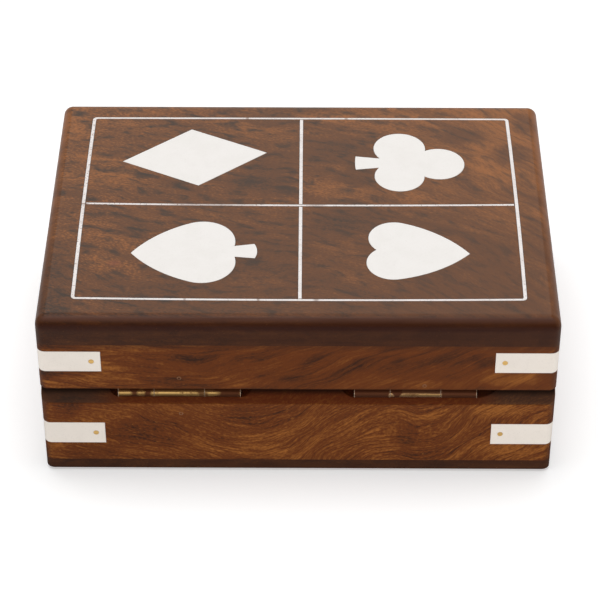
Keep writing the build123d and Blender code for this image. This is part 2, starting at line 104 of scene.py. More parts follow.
WALL_PATCHES = {
    "base_rear_wall": (
        on_rear(0.048, 0.0160, 0.016, 0.0080, -0.55),
        on_rear(0.072, 0.0270, 0.005, 0.0060, -0.60),
        on_rear(-0.034, 0.0150, 0.005, 0.0060, -0.42),
        on_rear(-0.066, 0.0100, 0.014, 0.0050, 0.35),
        on_rear(-0.064, 0.0260, 0.012, 0.0040, 0.48),
        on_rear(0.015, 0.0250, 0.016, 0.0045, -0.22),
        on_rear(0.015, 0.0085, 0.017, 0.0045, 0.22),
        on_rear(-0.042, 0.0100, 0.014, 0.0080, -0.14),
        on_rear(-0.042, 0.0250, 0.012, 0.0040, 0.18),
        on_rear(0.001, 0.0255, 0.011, 0.0035, -0.20),
        on_rear(0.066, 0.0075, 0.013, 0.0040, -0.35),
    ),
    "lid_rear_wall": (
        on_rear(0.030, 0.0490, 0.014, 0.0040, -0.12),
        on_rear(-0.028, 0.0430, 0.012, 0.0050, -0.40),
        on_rear(-0.064, 0.0392, 0.014, 0.0040, 0.55),
        on_rear(0.046, 0.0440, 0.005, 0.0080, -0.25),
        on_rear(0.052, 0.0400, 0.016, 0.0040, 0.30),
        on_rear(0.015, 0.0372, 0.017, 0.0032, 0.55),
        on_rear(-0.043, 0.0470, 0.016, 0.0050, -0.38),
        on_rear(-0.043, 0.0365, 0.015, 0.0030, 0.40),
        on_rear(-0.004, 0.0480, 0.012, 0.0040, -0.22),
        on_rear(0.067, 0.0392, 0.013, 0.0040, 0.55),
        on_rear(-0.057, 0.0475, 0.006, 0.0040, -0.25),
    ),
}
TOP_PATCHES = (
    on_top(0.011, -0.016, 0.013, 0.013, -0.45),
    on_top(-0.019, -0.016, 0.008, 0.007, -0.45),
    on_top(-0.014, 0.009, 0.012, 0.007, -0.40),
    on_top(-0.053, -0.038, 0.009, 0.005, -0.40),
    on_top(0.064, 0.008, 0.010, 0.010, 0.15),
    on_top(-0.064, -0.022, 0.009, 0.016, 0.18),
    on_top(-0.007, -0.049, 0.012, 0.004, 0.35),
    on_top(0.062, 0.030, 0.009, 0.008, 0.20),
    on_top(-0.010, -0.028, 0.009, 0.012, -0.18),
    on_top(0.074, 0.050, 0.009, 0.009, -0.50),
    on_top(0.077, 0.031, 0.006, 0.016, -0.30),
    on_top(-0.070, -0.028, 0.010, 0.007, -0.45),
    on_top(-0.076, -0.046, 0.006, 0.009, -0.35),
    on_top(-0.010, 0.016, 0.009, 0.012, -0.12),
)
TOP_BLUSH = (on_top(0.0575, 0.0300, 0.0030, 0.0022, 0.55),)
BRAD_MARKS = {
    "base_rear_wall": ((0.0365, HALF_DEPTH, 0.02415),),
    "lid_rear_wall": ((0.0367, HALF_DEPTH, 0.03875), (-0.0391, HALF_DEPTH, 0.03600)),
}
# a painted glint: a spot on the barrel cleared of tarnish
PAINTED_GLINT = ((-0.0289, PIN_Y + 0.0022, PIN_Z - 0.0004), (0.0008, 0.0020, 0.0010), -2.5)
HINGE_STAINS_AND_GLINT = {
    "right": (on_barrel(0.0212, 0.0044, 1.1), on_barrel(0.0507, 0.0013, 0.8),
              on_barrel(0.0465, 0.0013, 0.8)),
    "left": (on_barrel(-0.0304, 0.0015, 1.0), PAINTED_GLINT),
}
LINE_STAINS = (
    on_top(0.0280, -0.0005, 0.0170, 0.0020, 0.55),
    on_top(-0.0050, -0.0005, 0.0040, 0.0020, 0.50),
    on_top(-0.0055, 0.0472, 0.0012, 0.0020, 0.70),
    on_top(0.0122, 0.0472, 0.0006, 0.0020, 0.70),
    on_top(0.0347, 0.0470, 0.0006, 0.0020, 0.60),
    on_top(0.0177, -0.0483, 0.0006, 0.0020, 0.70),
    on_top(-0.0155, -0.0483, 0.0006, 0.0020, 0.60),
    on_top(0.0690, -0.0006, 0.0020, 0.0006, 0.80),
)

# finishes
ROSEWOOD_DARK = (0.042, 0.0160, 0.0080, 1)
ROSEWOOD_MIDDLE = (0.142, 0.0360, 0.0066, 1)
ROSEWOOD_GOLD = (0.330, 0.1120, 0.0190, 1)
TOP_DARK = (0.034, 0.0165, 0.0100, 1)
TOP_MIDDLE = (0.122, 0.0400, 0.0110, 1)
TOP_GOLD = (0.330, 0.1130, 0.0260, 1)
TOP_RED = (0.230, 0.0620, 0.0250, 1)
EDGE_BROWN = (0.050, 0.0160, 0.0068, 1)
# a painted sheen on the upper roundover
EDGE_SHEEN = (0.108, 0.0475, 0.0320, 1)
END_WARM = (0.300, 0.1330, 0.0700, 1)
# the roundover's dark brown, also used for its painted shade line
ROUND_BROWN = (0.034, 0.0060, 0.0018, 1)
BRAD_RIM = (0.240, 0.1250, 0.0640, 1)
# the bevel painted darker as shade under the lid: red in the middle, and slate grey towards the ends as a
# painted sheen
BEVEL_SHADE_RED = (0.158, 0.0320, 0.0110, 1)
BEVEL_SHEEN_SLATE = (0.090, 0.0520, 0.0370, 1)
# near black, painted as shade under the lid's lower edge
LID_SHADE_BLACK = (0.012, 0.0060, 0.0040, 1)
INLAY_WHITE = (0.930, 0.900, 0.870, 1)
INLAY_SHADE = (0.905, 0.875, 0.842, 1)
LINE_WHITE = (0.930, 0.880, 0.860, 1)
LINE_SHADE = (0.820, 0.760, 0.735, 1)
LINE_STAIN = (0.300, 0.200, 0.165, 1)
STRAP_WHITE = (0.930, 0.845, 0.755, 1)
STRAP_SHADE = (0.905, 0.820, 0.730, 1)
BRASS_BRIGHT = (0.980, 0.620, 0.200, 1)
BRASS_DULL = (0.640, 0.390, 0.130, 1)
BRASS_AGED = (0.600, 0.370, 0.135, 1)
BRASS_COPPER = (0.620, 0.360, 0.230, 1)
BRASS_BROWN = (0.088, 0.022, 0.008, 1)
# worn brass at the knuckle ends, lightened as a painted glint
BRASS_WORN_GLINT = (0.620, 0.460, 0.340, 1)


# ---------------------------------------------------------------- node helpers
def connect(tree, value, socket):
    """Links the socket to another node's output, or sets it to a plain value."""
    if isinstance(value, bpy.types.NodeSocket):
        tree.links.new(value, socket)
    else:
        socket.default_value = value


def put(tree, kind, sockets=None, **settings):
    """One node with its settings, and its inputs given as plain values or as other nodes' outputs."""
    made = tree.nodes.new(kind)
    for name, value in settings.items():
        setattr(made, name, value)
    for key, value in (sockets or {}).items():
        connect(tree, value, made.inputs[key])
    return made


def calc(tree, operation, a, b=0.0, c=0.0, clamp=False):
    """One step of arithmetic. clamp keeps the result between 0 and 1."""
    return put(tree, "ShaderNodeMath", {0: a, 1: b, 2: c}, operation=operation, use_clamp=clamp).outputs[0]


def times(tree, *factors):
    made = factors[0]
    for factor in factors[1:]:
        made = calc(tree, "MULTIPLY", made, factor)
    return made


def plus(tree, *terms):
    made = terms[0]
    for term in terms[1:]:
        made = calc(tree, "ADD", made, term)
    return made


def minus(tree, value, taken):
    return calc(tree, "SUBTRACT", value, taken)


def rest_of(tree, share):
    """What a share leaves of the whole."""
    return minus(tree, 1.0, share)


def scaled(tree, value, factor, start, clamp=False):
    """The value times the factor, counted from start."""
    return calc(tree, "MULTIPLY_ADD", value, factor, start, clamp)


def distance(tree, value, middle):
    """How far the value lies from the middle, to either side."""
    return calc(tree, "ABSOLUTE", minus(tree, value, middle))


def swing(tree, value, size):
    """A noise, which runs about 0.5, turned into a swing to both sides of 0."""
    return times(tree, minus(tree, value, 0.5), size)


def aim(tree, operation, a, b):
    return put(tree, "ShaderNodeVectorMath", {0: a, 1: b}, operation=operation).outputs[0]


def length(tree, way):
    return put(tree, "ShaderNodeVectorMath", {0: way}, operation="LENGTH").outputs["Value"]


def split(tree, place):
    """The place's x, y and z."""
    return tuple(put(tree, "ShaderNodeSeparateXYZ", {0: place}).outputs)


def ramp(tree, value, low, high, at_low=0.0, at_high=1.0, shape="SMOOTHSTEP"):
    """Runs smoothly from at_low, where the value is low, to at_high, where it is high."""
    made = put(tree, "ShaderNodeMapRange", {"Value": value, "From Min": low, "From Max": high,
                                            "To Min": at_low, "To Max": at_high}, interpolation_type=shape)
    return made.outputs["Result"]


def straight_ramp(tree, value, low, high, at_low=0.0, at_high=1.0):
    return ramp(tree, value, low, high, at_low, at_high, "LINEAR")


def over_length(tree, x, at_left, at_right):
    """Runs evenly from the box's left end to its right end."""
    return straight_ramp(tree, x, -HALF_LENGTH, HALF_LENGTH, at_left, at_right)


def mix(tree, share, a, b):
    """Color a with a share of color b."""
    return put(tree, "ShaderNodeMix", {0: share, 6: a, 7: b}, data_type="RGBA").outputs[2]


def mix_value(tree, share, a, b):
    """Number a with a share of number b."""
    return put(tree, "ShaderNodeMix", {0: share, 2: a, 3: b}, data_type="FLOAT").outputs[0]


def tint(tree, color, paint, share, strength):
    """The color with paint laid over it, as thick as share times strength."""
    return mix(tree, times(tree, share, strength), color, paint)


def noise(tree, place, scale, detail=2.0, rough=0.5, warp=0.0):
    """Noise that repeats scale times to the metre."""
    made = put(tree, "ShaderNodeTexNoise", {"Vector": place, "Scale": scale, "Detail": detail,
                                            "Roughness": rough, "Distortion": warp})
    return made.outputs[0]


def grain_noise(tree, place, along, across, detail=2.0, rough=0.5, warp=0.0):
    """Noise drawn out along X, with its own number of repeats to the metre along X and across it."""
    return noise(tree, aim(tree, "MULTIPLY", place, (along, across, across)), 1.0, detail, rough, warp)


def group(name, inputs, outputs):
    """An empty node group with named sockets, and its two ends."""
    tree = bpy.data.node_groups.new(name, "ShaderNodeTree")
    for label, kind, value in inputs:
        socket = tree.interface.new_socket(name=label, in_out="INPUT", socket_type="NodeSocket" + kind)
        if value is not None:
            socket.default_value = value
    for label, kind in outputs:
        tree.interface.new_socket(name=label, in_out="OUTPUT", socket_type="NodeSocket" + kind)
    entry = tree.nodes.new("NodeGroupInput")
    leave = tree.nodes.new("NodeGroupOutput")
    return tree, entry.outputs, leave.inputs


def use(tree, made_group, sockets):
    """The outputs of a group put to use with these inputs."""
    return put(tree, "ShaderNodeGroup", sockets, node_tree=made_group).outputs


def new_material(name):
    """A material with an unset shader, and the place on the piece that its looks are drawn from."""
    made = bpy.data.materials.new(name)
    made.use_nodes = True
    tree = made.node_tree
    tree.nodes.clear()
    shader = tree.nodes.new("ShaderNodeBsdfPrincipled")
    put(tree, "ShaderNodeOutputMaterial", {"Surface": shader.outputs[0]})
    place = tree.nodes.new("ShaderNodeTexCoord").outputs["Object"]
    return made, tree, shader, place


def feed(tree, shader, **sockets):
    """Sets or links the shader's sockets; an underscore stands for a space."""
    for name, value in sockets.items():
        connect(tree, value, shader.inputs[name.replace("_", " ")])


def relief(tree, shader, height, depth):
    """Fine relief in the surface, up to depth."""
    bump = put(tree, "ShaderNodeBump", {"Height": height, "Strength": 1.0, "Distance": depth})
    connect(tree, bump.outputs[0], shader.inputs["Normal"])


# ---------------------------------------------------------------- shared effects
def rosewood_group():
    """Rosewood sawn with its grain along X: flowing figure, dark clouds, short flecks, fibres and pores.

    Bend shifts the place along Rise, which bends the figure. Warmth runs from dark to gold, and the
    other numbers are strengths.
    """
    tree, given, out = group(
        "Rosewood",
        [("Place", "Vector", None), ("Rise", "Vector", (0.0, 0.0, 1.0)), ("Bend", "Float", 0.0),
         ("Dark", "Color", ROSEWOOD_DARK), ("Middle", "Color", ROSEWOOD_MIDDLE),
         ("Gold", "Color", ROSEWOOD_GOLD), ("Figure", "Float", 1.0), ("Bands", "Float", 1.3),
         ("Streaks", "Float", 1.0), ("Fibres", "Float", 1.1), ("Hairs", "Float", 0.35),
         ("Flecks", "Float", 0.0), ("Warmth", "Float", 0.5), ("Clouds", "Float", 0.5)],
        [("Color", "Color"), ("Roughness", "Float"), ("Height", "Float")])
    sway = swing(tree, grain_noise(tree, given["Place"], 22, 55), GRAIN_SWAY)
    lift = plus(tree, sway, given["Bend"])
    push = put(tree, "ShaderNodeVectorMath", {0: given["Rise"], "Scale": lift}, operation="SCALE")
    bent = aim(tree, "ADD", given["Place"], push.outputs[0])

    clouds = grain_noise(tree, bent, 24, 75, rough=0.55, warp=0.5)
    bands = grain_noise(tree, bent, 34, 260, warp=0.6)
    veins = grain_noise(tree, bent, 30, 700, rough=0.55, warp=0.5)
    flecks = grain_noise(tree, bent, 150, 370, warp=0.4)
    streaks = grain_noise(tree, bent, 160, 1400, warp=0.5)
    fibres = grain_noise(tree, bent, 900, 2400, detail=1.0)
    hairs = grain_noise(tree, bent, 560, 2300, detail=1.0, warp=0.4)
    pores = grain_noise(tree, bent, 520, 5200, detail=1.0)

    bundled = times(tree, given["Streaks"], plus(tree, bands, 0.5))
    veined = times(tree, ramp(tree, veins, 0.54, 0.66), times(tree, given["Streaks"], 0.25))
    figure = plus(tree, swing(tree, bands, given["Bands"]), swing(tree, streaks, bundled))
    figure = plus(tree, minus(tree, figure, veined), swing(tree, fibres, given["Fibres"]))
    gloom = times(tree, ramp(tree, clouds, 0.50, 0.72), given["Clouds"])
    tone = minus(tree, plus(tree, times(tree, figure, given["Figure"]), given["Warmth"]), gloom)

    pore = ramp(tree, pores, 0.66, 0.74)
    color = mix(tree, ramp(tree, tone, 0.42, -0.45), given["Middle"], given["Dark"])
    color = mix(tree, ramp(tree, tone, 0.38, 1.35), color, given["Gold"])
    color = tint(tree, color, given["Gold"], ramp(tree, hairs, 0.62, 0.76), given["Hairs"])
    color = tint(tree, color, given["Dark"], ramp(tree, flecks, 0.44, 0.78), given["Flecks"])
    color = tint(tree, color, given["Dark"], pore, 0.45)
    connect(tree, color, out["Color"])
    connect(tree, scaled(tree, pore, 0.2, scaled(tree, streaks, 0.16, 0.34)), out["Roughness"])
    height = scaled(tree, fibres, 0.35, times(tree, streaks, 0.4))
    connect(tree, minus(tree, height, times(tree, pore, 0.8)), out["Height"])
    return tree


def edge_group():
    """Shares on the closed box's outer faces.

    Corner is the worn upright corners. Seam is the dark lines between boards, with painted shade in the
    seam under the lid.
    Side is the strip all round that holds the panels' edges. Bevel is the tray's rear bevel, painted
    darker as shade under the lid. Lid shade is its upper part and the hinge notches, painted near black as
    shade under the lid.
    """
    tree, given, out = group("Outer edges", [("Place", "Vector", None)],
                             [("Corner", "Float"), ("Seam", "Float"), ("Side", "Float"),
                              ("Bevel", "Float"), ("Lid shade", "Float")])
    x, y, z = split(tree, given["Place"])
    in_x = minus(tree, HALF_LENGTH, calc(tree, "ABSOLUTE", x))
    in_y = minus(tree, HALF_DEPTH, calc(tree, "ABSOLUTE", y))
    nearest = calc(tree, "MINIMUM", in_x, in_y)
    ragged = times(tree, noise(tree, given["Place"], 420.0, detail=3.0, rough=0.6), EDGE_RAGGED)
    connect(tree, ramp(tree, plus(tree, in_x, in_y, ragged), *CORNER_WEAR), out["Corner"])
    connect(tree, ramp(tree, nearest, *SIDE_STRIP), out["Side"])

    # the dark line in the seam under the lid is painted shade; the panel seams are dark joints
    gap = plus(tree, distance(tree, z, SEAM_LEVEL), times(tree, ragged, 0.6))
    seam = ramp(tree, gap, *LID_SEAM_SHADE)
    for level, strength in ((PANEL_SEAM, 0.75), (BOTTOM_SEAM, 0.15)):
        near = plus(tree, distance(tree, z, level), ragged)
        seam = calc(tree, "MAXIMUM", seam, ramp(tree, near, *PANEL_SEAM_WEAR, 0.0, strength))
    connect(tree, seam, out["Seam"])

    sunk = times(tree, ramp(tree, nearest, *BELOW_SURFACE), calc(tree, "LESS_THAN", z, RIM_LEVEL),
                 calc(tree, "GREATER_THAN", y, REAR_STRIP))
    # the bevel's paint grows stronger towards the lid: painted shade under the lid's overhang
    rising = ramp(tree, z, BEVEL_FOOT, SEAM_LEVEL - 0.0010, 0.75, 1.0)
    connect(tree, times(tree, rising, calc(tree, "GREATER_THAN", z, BEVEL_FOOT), sunk), out["Bevel"])
    # Lid shade: the bevel's upper part and the hinge notches, painted near black as shade under the lid
    deep = ramp(tree, z, SEAM_LEVEL - 0.0045, SEAM_LEVEL - 0.0029)
    connect(tree, times(tree, deep, sunk), out["Lid shade"])
    return tree


def handling_group():
    """Fine dust, rub marks and scratches left by use and polishing."""
    tree, given, out = group("Handling", [("Place", "Vector", None), ("Amount", "Float", 1.0)],
                             [("Dust", "Float"), ("Roughness", "Float"), ("Height", "Float")])
    specks = ramp(tree, noise(tree, given["Place"], 2600.0, detail=1.0, rough=0.4), 0.74, 0.80)
    rubbed_and_sheen = swing(tree, noise(tree, given["Place"], 90.0, detail=4.0, rough=0.6, warp=0.4), 0.28)
    scratch = grain_noise(tree, given["Place"], 60, 2400, warp=0.2)
    for label, effect in (("Dust", specks), ("Roughness", rubbed_and_sheen), ("Height", scratch)):
        connect(tree, times(tree, effect, given["Amount"]), out[label])
    return tree


def patch_group():
    """A soft-edged oval patch with an uneven outline: 1 at its centre, 0 outside its reach."""
    tree, given, out = group("Patch", [("Place", "Vector", None), ("Centre", "Vector", None),
                                       ("Reach", "Vector", None)], [("Share", "Float")])
    away = aim(tree, "DIVIDE", aim(tree, "SUBTRACT", given["Place"], given["Centre"]), given["Reach"])
    uneven = swing(tree, noise(tree, given["Place"], 110.0, detail=3.0, rough=0.6), 1.1)
    connect(tree, ramp(tree, plus(tree, length(tree, away), uneven), 1.15, 0.25), out["Share"])
    return tree


def brad_group():
    """The rim of a small filled brad hole: 1 on the rim, 0 elsewhere."""
    tree, given, out = group("Brad mark", [("Place", "Vector", None), ("Centre", "Vector", None)],
                             [("Rim", "Float")])
    away = length(tree, aim(tree, "SUBTRACT", given["Place"], given["Centre"]))
    rim = ramp(tree, distance(tree, away, BRAD_RADIUS), *BRAD_RIM_WIDTH)
    uneven = ramp(tree, noise(tree, given["Place"], 900.0, detail=1.0), 0.35, 0.65, 0.35, 1.0)
    connect(tree, times(tree, rim, uneven), out["Rim"])
    return tree


ROSEWOOD = rosewood_group()
EDGES = edge_group()
HANDLING = handling_group()
PATCH = patch_group()
BRAD_MARK = brad_group()


# ---------------------------------------------------------------- wood
def turned(tree, place, angle, shift):
    """The place turned about Z, so that the grain runs along the piece, and moved to its own cut."""
    made = put(tree, "ShaderNodeMapping", {"Vector": place, "Location": shift,
                                           "Rotation": (0.0, 0.0, angle)}, vector_type="POINT")
    return made.outputs[0]


def bend_line(tree, coordinate, knots, span):
    """The grain's height along a piece, drawn as a smooth line through knots; span is its full length."""
    share = straight_ramp(tree, coordinate, -span / 2, span / 2)
    made = put(tree, "ShaderNodeFloatCurve", {"Value": share})
    line = made.mapping.curves[0]
    while len(line.points) < len(knots):
        line.points.new(0.5, 0.5)
    for point, (along, height) in zip(line.points, knots):
        point.location = (along, height)
    made.mapping.update()
    return made.outputs[0]


def patched(tree, place, patches, base):
    """base plus the lift of every patch, given as centre, reach and lift."""
    for centre, reach, lift in patches:
        share = use(tree, PATCH, {"Place": place, "Centre": centre, "Reach": reach})["Share"]
        base = scaled(tree, share, lift, base)
    return base


def wall_wood(name, along_y, shift, knots, rise, warmth, cut):
    """Satin rosewood of one frame board, turned and moved to its own place in the wood.

    knots draw the bend of its grain and rise is the height of that bend. cut says how its figure looks.
    """
    made, tree, shader, place = new_material(name + "_rosewood")
    x, y, _ = split(tree, place)
    if along_y:
        angle, coordinate, span = math.pi / 2, y, 2 * HALF_DEPTH
    else:
        angle, coordinate, span = 0.0, x, 2 * HALF_LENGTH
    layers, figure_left, figure_right = cut
    rightward = calc(tree, "POWER", over_length(tree, x, 0.0, 1.0), 2.0)
    warm = plus(tree, warmth, swing(tree, noise(tree, place, 26.0, detail=1.0, rough=0.4), 0.14))
    wood = use(tree, ROSEWOOD, {
        "Place": turned(tree, place, angle, shift),
        "Bend": swing(tree, bend_line(tree, coordinate, knots, span), -rise),
        "Figure": scaled(tree, rightward, figure_right - figure_left, figure_left),
        "Warmth": patched(tree, place, WALL_PATCHES.get(name, ()), warm),
        **layers})
    edges = use(tree, EDGES, {"Place": place})
    handled = use(tree, HANDLING, {"Place": place, "Amount": 0.5})
    # towards the ends the bevel's painted shade turns slate grey, a painted sheen
    near_end = ramp(tree, calc(tree, "ABSOLUTE", x), *BEVEL_TURNS_SLATE)
    bevel_shade_and_sheen = mix(tree, near_end, BEVEL_SHADE_RED, BEVEL_SHEEN_SLATE)
    color = wood["Color"]
    # Corner paints wear, Seam dark joints plus painted shade in the seam under the lid, Bevel and Lid
    # shade painted shade
    paints = ((edges["Corner"], 0.50, EDGE_BROWN), (edges["Seam"], 0.50, ROSEWOOD_DARK),
              (edges["Bevel"], 0.80, bevel_shade_and_sheen), (edges["Lid shade"], 0.85, LID_SHADE_BLACK),
              (handled["Dust"], 0.35, ROSEWOOD_GOLD))
    for share, strength, paint in paints:
        color = tint(tree, color, paint, share, strength)
    for centre in BRAD_MARKS.get(name, ()):
        rim = use(tree, BRAD_MARK, {"Place": place, "Centre": centre})["Rim"]
        color = tint(tree, color, BRAD_RIM, rim, 0.75)
    rough = plus(tree, wood["Roughness"], handled["Roughness"])
    rough = scaled(tree, edges["Bevel"], 0.35, rough, clamp=True)
    polish = times(tree, scaled(tree, edges["Corner"], -0.03, 0.05), rest_of(tree, edges["Bevel"]))
    feed(tree, shader, Base_Color=color, Roughness=rough, Specular_IOR_Level=0.06, Coat_Weight=polish,
         Coat_Roughness=0.22)
    relief(tree, shader, wood["Height"], depth=0.06 * MM)
    return made


def under_top(tree, z, low, high, at_low=0.0, at_high=1.0):
    """A ramp between two depths under the box's top."""
    return ramp(tree, z, TOP_LEVEL - low, TOP_LEVEL - high, at_low, at_high)


def top_edge(tree, color, place, streak, side, long_side):
    """The finish round the lid's thick panel: a painted sheen above, a painted shade line under it, and
    warm at the ends.
    """
    x, y, z = split(tree, place)
    # a painted sheen in streaks along the upper roundover of the long sides
    rubbed_and_sheen = times(tree, under_top(tree, z, 0.0019, 0.0005), long_side,
                   scaled(tree, streak, 1.6, 0.15, clamp=True))
    # a dark line at the foot of the roundover: painted shade
    line = times(tree, ramp(tree, distance(tree, z, TOP_LEVEL - 0.0032), 0.0019, 0.0002, 0.0, 0.95),
                 long_side, scaled(tree, streak, -0.8, 1.2, clamp=True))
    darker = times(tree, over_length(tree, x, 0.26, 0.0), long_side)
    warmed = times(tree, under_top(tree, z, 0.0038, 0.0016), over_length(tree, x, 0.65, 0.35),
                   rest_of(tree, long_side), scaled(tree, streak, 1.2, 0.3, clamp=True),
                   ramp(tree, y, -0.030, 0.050, 1.0, 0.45))
    for share, paint in ((rubbed_and_sheen, EDGE_SHEEN), (line, ROUND_BROWN), (darker, ROUND_BROWN),
                         (warmed, END_WARM)):
        color = tint(tree, color, paint, share, side)
    return color


def panel_wood(name, shift, warmth, is_top):
    """The thick panels: a polished face with short dark flecks, and a darker reddish edge all round."""
    made, tree, shader, place = new_material(name)
    x, y, z = split(tree, place)
    side = use(tree, EDGES, {"Place": place})["Side"]
    upper = under_top(tree, z, 0.0006, 0.00006) if is_top else 0.0
    to_end = minus(tree, HALF_LENGTH, calc(tree, "ABSOLUTE", x))
    to_long_side = minus(tree, HALF_DEPTH, calc(tree, "ABSOLUTE", y))
    long_side = ramp(tree, minus(tree, to_end, to_long_side), -0.002, 0.002)
    calm = times(tree, rest_of(tree, times(tree, side, long_side)), rest_of(tree, upper))

    # the grain: warmer towards the front and the ends, with more flecks and fibres towards the right
    lying = turned(tree, place, TOP_GRAIN_TURN, shift)
    front = straight_ramp(tree, y, HALF_DEPTH, -HALF_DEPTH, -0.10, 0.34)
    out_x = calc(tree, "ABSOLUTE", calc(tree, "DIVIDE", x, HALF_LENGTH))
    ends = times(tree, calc(tree, "POWER", out_x, 2.0),
                 straight_ramp(tree, y, HALF_DEPTH, -HALF_DEPTH, 0.02, 0.30))
    drift = swing(tree, grain_noise(tree, lying, 24, 40, detail=3.0, rough=0.55, warp=0.4), 1.3)
    warm = plus(tree, front, ends, drift, warmth)
    flecks = scaled(tree, over_length(tree, x, 0.50, 1.10), 1.0, times(tree, front, 0.5), clamp=True)
    to_left = calc(tree, "POWER", calc(tree, "MINIMUM", x, 0.0), 2.0)
    wood = use(tree, ROSEWOOD, {
        "Place": lying, "Rise": (0.0, 1.0, 0.0), "Bend": times(tree, to_left, TOP_GRAIN_BOW),
        "Dark": TOP_DARK, "Middle": TOP_MIDDLE, "Gold": TOP_GOLD,
        "Figure": over_length(tree, x, 0.48, 0.66), "Bands": 1.4, "Streaks": 0.45, "Hairs": 0.10,
        "Fibres": times(tree, over_length(tree, x, 1.4, 2.8), scaled(tree, calm, -0.60, 1.0)),
        "Flecks": times(tree, flecks, scaled(tree, calm, -0.70, 1.0)),
        "Warmth": patched(tree, place, TOP_PATCHES, warm) if is_top else warm, "Clouds": 0.30})
    grain = wood["Color"]
    if is_top:
        grain = mix(tree, patched(tree, place, TOP_BLUSH, 0.0), grain, TOP_RED)

    # the edge all round
    streak = grain_noise(tree, place, 26, 330, detail=3.0, rough=0.6, warp=0.5)
    brown = mix_value(tree, long_side, ramp(tree, y, -0.010, HALF_DEPTH, 0.75, 1.20), 1.30)
    edge = tint(tree, grain, EDGE_BROWN, scaled(tree, streak, -1.2, brown, clamp=True), side)
    coat = 0.06
    if is_top:
        edge = top_edge(tree, edge, place, streak, side, long_side)
        gloss = under_top(tree, z, 0.00012, 0.00001, 0.05, 0.75)
        end_gloss = times(tree, under_top(tree, z, 0.0006, 0.0001, 0.02, 0.30), rest_of(tree, long_side))
        coat = calc(tree, "MAXIMUM", gloss, end_gloss)

    handled = use(tree, HANDLING, {"Place": place, "Amount": 0.6})
    color = tint(tree, mix(tree, upper, edge, grain), TOP_GOLD, handled["Dust"], 0.4)
    feed(tree, shader, Base_Color=color, Roughness=plus(tree, wood["Roughness"], handled["Roughness"]),
         Specular_IOR_Level=0.08, Coat_Weight=coat, Coat_Roughness=0.20)
    relief(tree, shader, wood["Height"], depth=0.05 * MM)
    return made


# ---------------------------------------------------------------- inlay and brass
def white_inlay(name, white, shade, speckle, stains=()):
    """Cast white filling, sanded level: faint clouds, fine specks, sanding lines and a few stains."""
    made, tree, shader, place = new_material(name)
    cloud = ramp(tree, noise(tree, place, 140.0, detail=3.0, rough=0.6, warp=0.3), 0.35, 0.75)
    specks = times(tree, ramp(tree, noise(tree, place, 1500.0, rough=0.6), 0.56, 0.70), speckle)
    stained = calc(tree, "MINIMUM", patched(tree, place, stains, specks), 0.9)
    color = mix(tree, stained, mix(tree, cloud, white, shade), LINE_STAIN)
    handled = use(tree, HANDLING, {"Place": place, "Amount": 0.8})
    feed(tree, shader, Base_Color=color, Roughness=plus(tree, 0.42, handled["Roughness"]),
         Specular_IOR_Level=0.35, Coat_Weight=scaled(tree, cloud, 0.2, 0.25), Coat_Roughness=0.25)
    relief(tree, shader, handled["Height"], depth=0.02 * MM)
    return made


def hinge_wear_and_shade(tree, place, clouds, tarnish, hinge, outer_tarnish, bright_line_angle):
    """A hinge's tarnish and worn knuckle ends with painted glints. The barrel is painted shaded all round,
    except the side at bright_line_angle, which is left bright as a painted highlight.
    """
    along = distance(tree, split(tree, place)[0], HINGE_MIDDLES[hinge])
    knuckle_end = calc(tree, "MINIMUM", distance(tree, along, LEAF_HALF),
                       distance(tree, along, KNUCKLE_HALF))
    # the knuckle ends: wear, with a painted glint
    worn_and_glint = ramp(tree, knuckle_end, *KNUCKLE_END_WEAR_AND_GLINT)
    outer = ramp(tree, along, KNUCKLE_HALF - 0.0002, KNUCKLE_HALF + 0.0006, 0.0, outer_tarnish)
    from_pin = aim(tree, "MULTIPLY", aim(tree, "SUBTRACT", place, (0.0, PIN_Y, PIN_Z)), (0.0, 1.0, 1.0))
    radius = length(tree, from_pin)
    bright_line_way = (0.0, math.cos(bright_line_angle), math.sin(bright_line_angle))
    facing = put(tree, "ShaderNodeVectorMath", {0: from_pin, 1: bright_line_way},
                 operation="DOT_PRODUCT").outputs["Value"]
    toward_bright_line = plus(tree, calc(tree, "DIVIDE", facing, radius), scaled(tree, clouds, 0.24, -0.12))
    # painted shade: tarnish all round the barrel except along the bright line, which stays clean as a
    # painted highlight
    barrel_shade = times(tree, ramp(tree, toward_bright_line, 0.975, 0.87),
                     ramp(tree, radius, BARREL_RADIUS * 1.15, BARREL_RADIUS), 0.88)
    tarnish = calc(tree, "MAXIMUM", tarnish, calc(tree, "MAXIMUM", outer, barrel_shade))
    tarnish = calc(tree, "MINIMUM", patched(tree, place, HINGE_STAINS_AND_GLINT[hinge], tarnish), 0.97)
    tarnish = times(tree, calc(tree, "MAXIMUM", tarnish, 0.0), rest_of(tree, worn_and_glint))
    return tarnish, worn_and_glint


